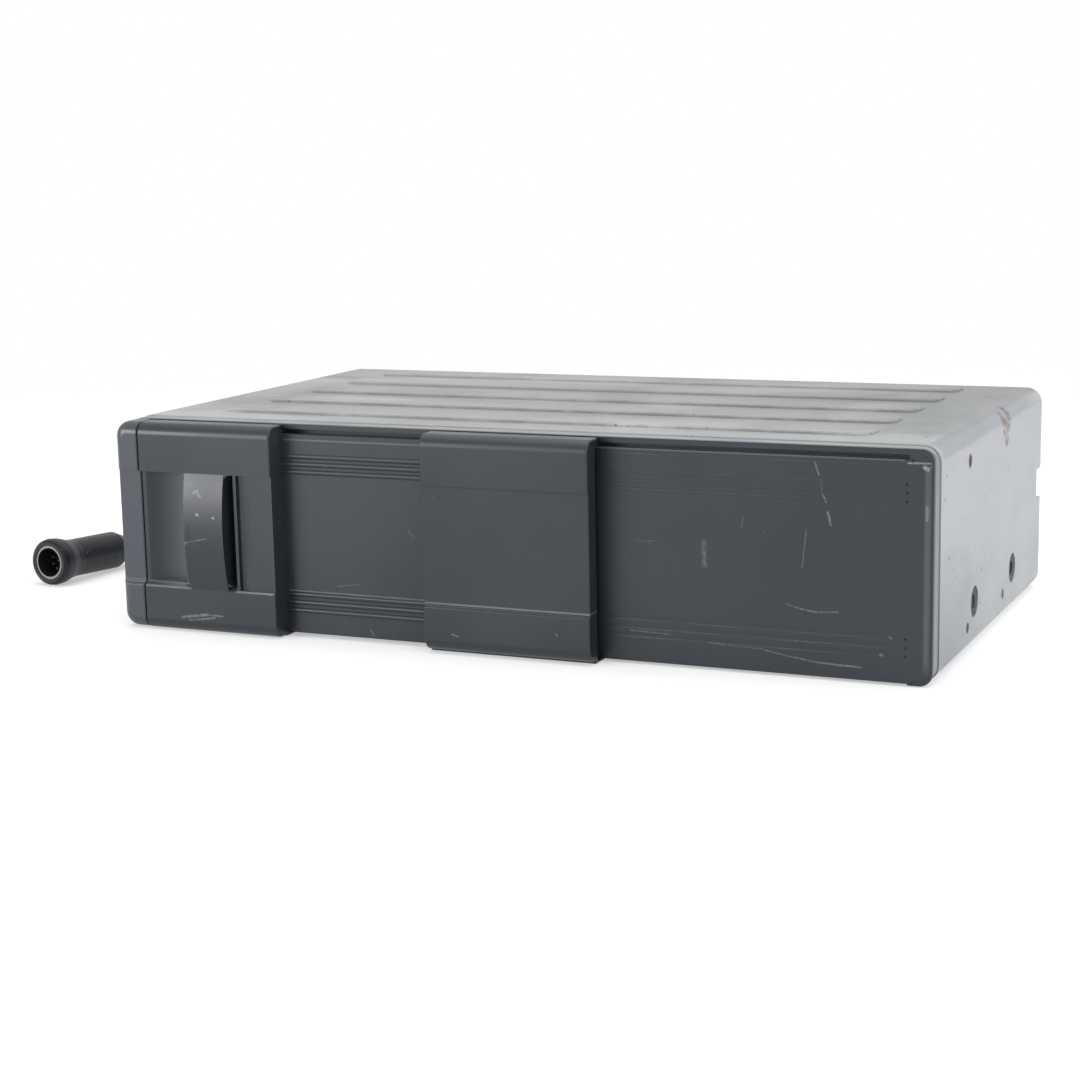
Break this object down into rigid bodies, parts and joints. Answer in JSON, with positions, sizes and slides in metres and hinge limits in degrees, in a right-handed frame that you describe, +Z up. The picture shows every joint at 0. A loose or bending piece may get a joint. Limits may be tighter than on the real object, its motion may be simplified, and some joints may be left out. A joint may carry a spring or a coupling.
{
  "type": "car cd changer",
  "caption": "Car CD changer: flat steel case, two-stage sliding door over a disc magazine, lifting play deck inside, lead with a round socket.",
  "frame": {"origin": "middle of the case's width and overall depth, at its underside; the lead doesn't count", "axes": "+X to the right along the front, +Y from the front to the rear, +Z up"},
  "size_m": [0.3302, 0.2161, 0.0673],
  "materials": {
    "case_paint": "satin grey paint, worn",
    "plain_steel": "zinc-plated",
    "front_plastic": "fine-textured dark grey",
    "inner_plastic": "black moulding",
    "tray_plastic": "natural moulding",
    "disc_plastic": "clear over silver",
    "rubber": "soft black",
    "board": "green lacquer",
    "spring_steel": "bright",
    "brass": "turned",
    "cord_jacket": "smooth black",
    "connector_plastic": "black moulding",
    "connector_metal": "nickel",
    "lens": "clear"
  },
  "bodies": {
    "case": {"case_cover": "case_paint", "front_rim": "case_paint", "bottom_plate": "plain_steel", "rear_panel": "plain_steel", "bracket_bushes": "plain_steel", "case_screws": "plain_steel", "front_frame": "front_plastic", "slot_bezel": "inner_plastic", "magazine_shell": "inner_plastic", "magazine_guide": "inner_plastic", "mech_chassis": "plain_steel", "damper_pads": "rubber", "main_board": "board", "lift_motor": "plain_steel", "cord_grommet": "rubber", "cord": "cord_jacket", "connector_body": "connector_plastic", "connector_ring": "connector_metal", "connector_core": "inner_plastic", "tray_2": "tray_plastic", "tray_3": "tray_plastic", "tray_4": "tray_plastic", "tray_5": "tray_plastic", "tray_6": "tray_plastic", "disc_2": "disc_plastic", "disc_3": "disc_plastic", "disc_4": "disc_plastic", "disc_5": "disc_plastic", "disc_6": "disc_plastic"},
    "sliding_door": {"sliding_door": "front_plastic"},
    "centre_cover": {"centre_cover": "front_plastic"},
    "eject_button": {"eject_button": "inner_plastic", "eject_spring": "spring_steel"},
    "magazine_latch": {"magazine_latch": "plain_steel"},
    "tray_1": {"tray_1": "tray_plastic", "disc_1": "disc_plastic"},
    "cam_front": {"cam_plate_front": "plain_steel"},
    "cam_rear": {"cam_plate_rear": "plain_steel"},
    "lift_shaft": {"lift_shaft": "brass"},
    "lift_pinion": {"lift_pinion": "brass"},
    "play_deck": {"play_deck": "plain_steel", "clamp_bridge": "plain_steel"},
    "clamp_puck": {"clamp_puck": "inner_plastic"},
    "pickup_chassis": {"pickup_chassis": "inner_plastic", "sled_rods": "spring_steel", "sled_motor": "plain_steel", "spindle_motor": "plain_steel"},
    "turntable": {"turntable": "inner_plastic"},
    "pickup_sled": {"pickup_sled": "inner_plastic", "pickup_lens": "lens"},
    "sled_screw": {"sled_screw": "brass"}
  },
  "joints": [
    {"name": "centre_cover_slide", "type": "slide", "parent": "case", "child": "centre_cover", "axis": [1, 0, 0], "range_m": [0, 0.0905]},
    {"name": "door_slide", "type": "slide", "parent": "centre_cover", "child": "sliding_door", "axis": [1, 0, 0], "range_m": [0, 0.0489]},
    {"name": "eject_press", "type": "slide", "parent": "case", "child": "eject_button", "axis": [0, 1, 0], "range_m": [0, 0.0025], "stiffness_N_per_m": 400, "springref_m": -0.002, "deforming": ["eject_spring"]},
    {"name": "latch_turn", "type": "hinge", "parent": "case", "child": "magazine_latch", "pos_m": [0.014, -0.04, 0.0125], "axis": [0, 0, 1], "range_deg": [0, 17.92]},
    {"name": "tray_1_slide", "type": "slide", "parent": "case", "child": "tray_1", "axis": [1, 0, 0], "range_m": [0, 0.116]},
    {"name": "lift", "type": "slide", "parent": "case", "child": "play_deck", "axis": [0, 0, 1], "range_m": [0, 0.029]},
    {"name": "cam_front_slide", "type": "slide", "parent": "case", "child": "cam_front", "axis": [1, 0, 0], "range_m": [0, 0.02]},
    {"name": "cam_rear_slide", "type": "slide", "parent": "case", "child": "cam_rear", "axis": [1, 0, 0], "range_m": [0, 0.02]},
    {"name": "lift_shaft_turn", "type": "hinge", "parent": "case", "child": "lift_shaft", "pos_m": [0.088, 0.005, 0.0074], "axis": [0, 1, 0], "range_deg": [0, 286.5]},
    {"name": "lift_pinion_turn", "type": "hinge", "parent": "case", "child": "lift_pinion", "pos_m": [0.075, -0.056, 0.057], "axis": [0, 1, 0], "range_deg": [-286.5, 0]},
    {"name": "load", "type": "slide", "parent": "play_deck", "child": "pickup_chassis", "axis": [0, 0, 1], "range_m": [0, 0.0025]},
    {"name": "turntable_spin", "type": "hinge", "parent": "pickup_chassis", "child": "turntable", "pos_m": [0.0615, 0.005, 0.0144], "axis": [0, 0, 1], "continuous": true},
    {"name": "puck_spin", "type": "hinge", "parent": "play_deck", "child": "clamp_puck", "pos_m": [0.0615, 0.005, 0.0216], "axis": [0, 0, 1], "continuous": true},
    {"name": "sled_slide", "type": "slide", "parent": "pickup_chassis", "child": "pickup_sled", "axis": [0, -1, 0], "range_m": [0, 0.031]},
    {"name": "sled_screw_turn", "type": "hinge", "parent": "pickup_chassis", "child": "sled_screw", "pos_m": [0.0775, -0.03, 0.0086], "axis": [0, 1, 0], "range_deg": [0, 2233]}
  ],
  "couplings": [
    {"joint": "latch_turn", "follows": "eject_press", "rad_per_m": 125},
    {"joint": "cam_front_slide", "follows": "lift", "ratio": 0.68966},
    {"joint": "cam_rear_slide", "follows": "lift", "ratio": 0.68966},
    {"joint": "lift_shaft_turn", "follows": "lift", "rad_per_m": 172.41},
    {"joint": "lift_pinion_turn", "follows": "lift", "rad_per_m": -172.41},
    {"joint": "puck_spin", "follows": "turntable_spin", "ratio": 1},
    {"joint": "sled_screw_turn", "follows": "sled_slide", "rad_per_m": 1256.6}
  ]
}
